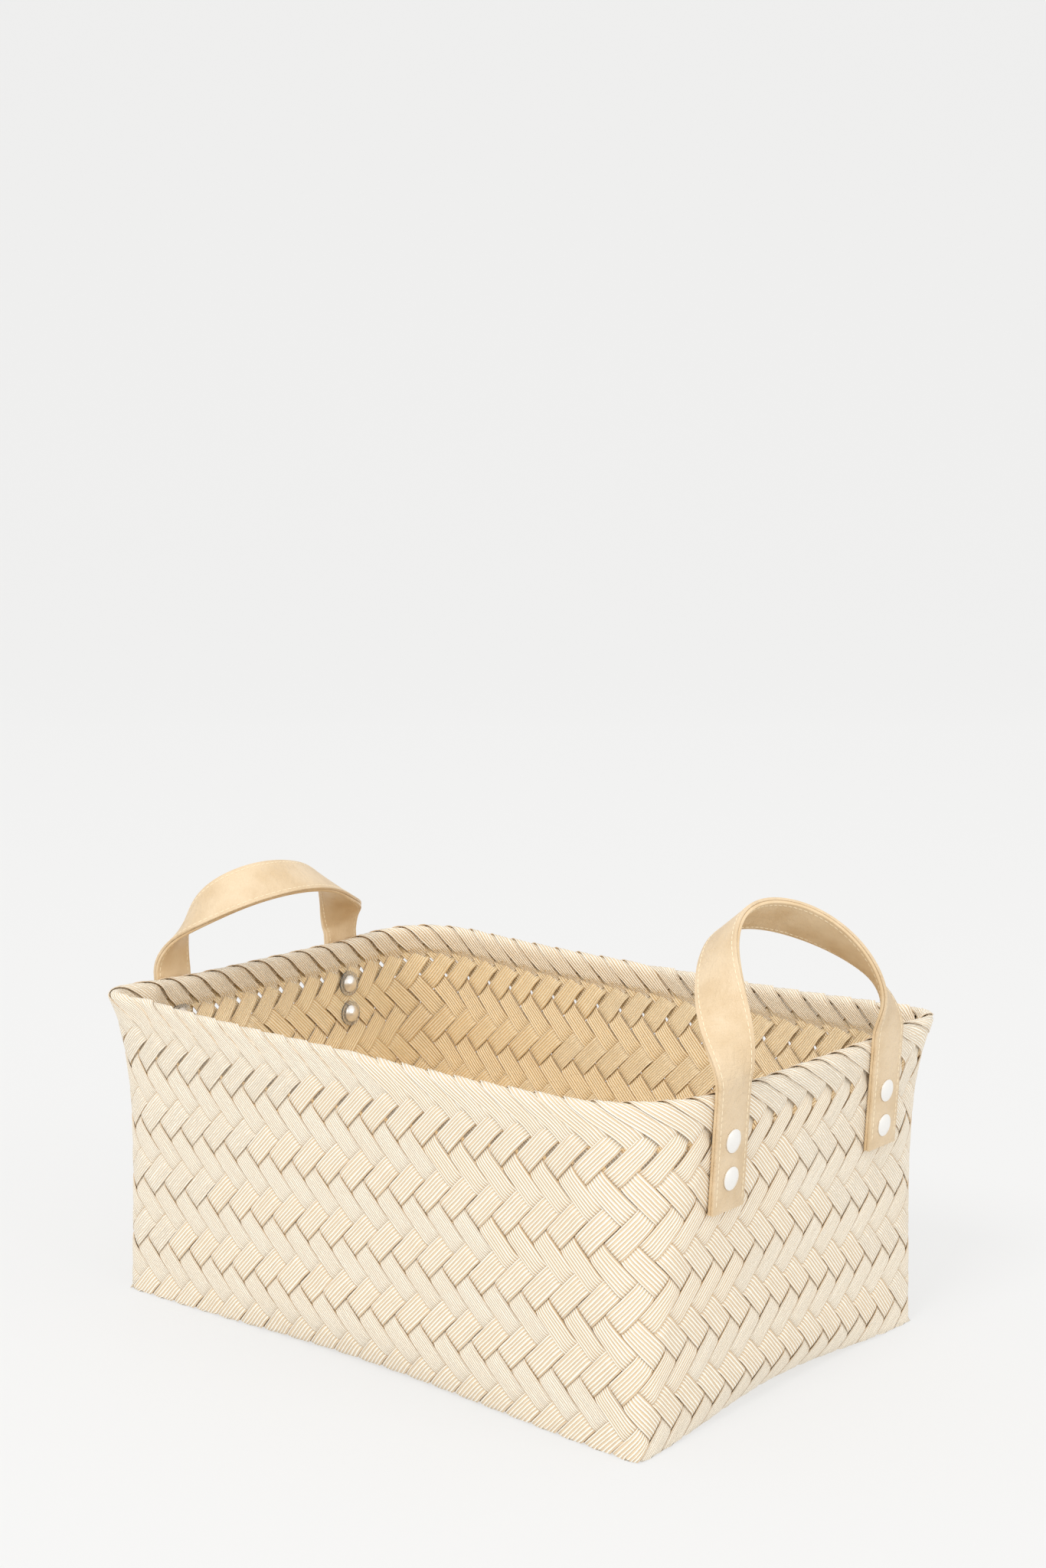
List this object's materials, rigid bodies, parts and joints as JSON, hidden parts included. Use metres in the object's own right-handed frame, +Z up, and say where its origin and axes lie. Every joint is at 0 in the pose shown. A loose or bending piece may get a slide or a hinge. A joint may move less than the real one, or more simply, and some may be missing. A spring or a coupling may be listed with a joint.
{
  "type": "storage basket",
  "caption": "Plaited flat-strip storage basket with an open top, a rolled rim and a riveted strap handle at each short end.",
  "frame": {"origin": "middle of the underside, on the plane that the basket stands on", "axes": "+X along the long side, toward the right handle; +Y along the short side, from the near legs to the far legs; +Z up"},
  "size_m": [0.3937, 0.26, 0.2475],
  "materials": {
    "plaited_strip": "flat ribbed plastic strip, cream and beige lengthwise ribs, satin",
    "strap_face": "natural tan leatherette with a fine pebble grain, soft satin",
    "strap_lining": "natural tan leatherette, smoother inner layer",
    "rivet_metal": "polished nickel",
    "clear_plastic": "clear plastic washer"
  },
  "bodies": {
    "basket": {"woven_body": "plaited_strip", "right_near_tab_face": "strap_face", "right_near_tab_lining": "strap_lining", "right_far_tab_face": "strap_face", "right_far_tab_lining": "strap_lining", "left_near_tab_face": "strap_face", "left_near_tab_lining": "strap_lining", "left_far_tab_face": "strap_face", "left_far_tab_lining": "strap_lining", "right_near_upper_rivet_cap": "rivet_metal", "right_near_upper_rivet_washer": "clear_plastic", "right_near_upper_rivet_socket": "rivet_metal", "right_near_lower_rivet_cap": "rivet_metal", "right_near_lower_rivet_washer": "clear_plastic", "right_near_lower_rivet_socket": "rivet_metal", "right_far_upper_rivet_cap": "rivet_metal", "right_far_upper_rivet_washer": "clear_plastic", "right_far_upper_rivet_socket": "rivet_metal", "right_far_lower_rivet_cap": "rivet_metal", "right_far_lower_rivet_washer": "clear_plastic", "right_far_lower_rivet_socket": "rivet_metal", "left_near_upper_rivet_cap": "rivet_metal", "left_near_upper_rivet_washer": "clear_plastic", "left_near_upper_rivet_socket": "rivet_metal", "left_near_lower_rivet_cap": "rivet_metal", "left_near_lower_rivet_washer": "clear_plastic", "left_near_lower_rivet_socket": "rivet_metal", "left_far_upper_rivet_cap": "rivet_metal", "left_far_upper_rivet_washer": "clear_plastic", "left_far_upper_rivet_socket": "rivet_metal", "left_far_lower_rivet_cap": "rivet_metal", "left_far_lower_rivet_washer": "clear_plastic", "left_far_lower_rivet_socket": "rivet_metal"},
    "right_handle": {"right_loop_face": "strap_face", "right_loop_lining": "strap_lining"},
    "left_handle": {"left_loop_face": "strap_face", "left_loop_lining": "strap_lining"}
  },
  "joints": [
    {"name": "right_handle_flex", "type": "hinge", "parent": "basket", "child": "right_handle", "pos_m": [0.1917, 0, 0.172], "axis": [0, -1, 0], "range_deg": [-90, 40], "stiffness_Nm_per_rad": 0.3},
    {"name": "left_handle_flex", "type": "hinge", "parent": "basket", "child": "left_handle", "pos_m": [-0.1917, 0, 0.172], "axis": [0, 1, 0], "range_deg": [-90, 40], "stiffness_Nm_per_rad": 0.3}
  ]
}
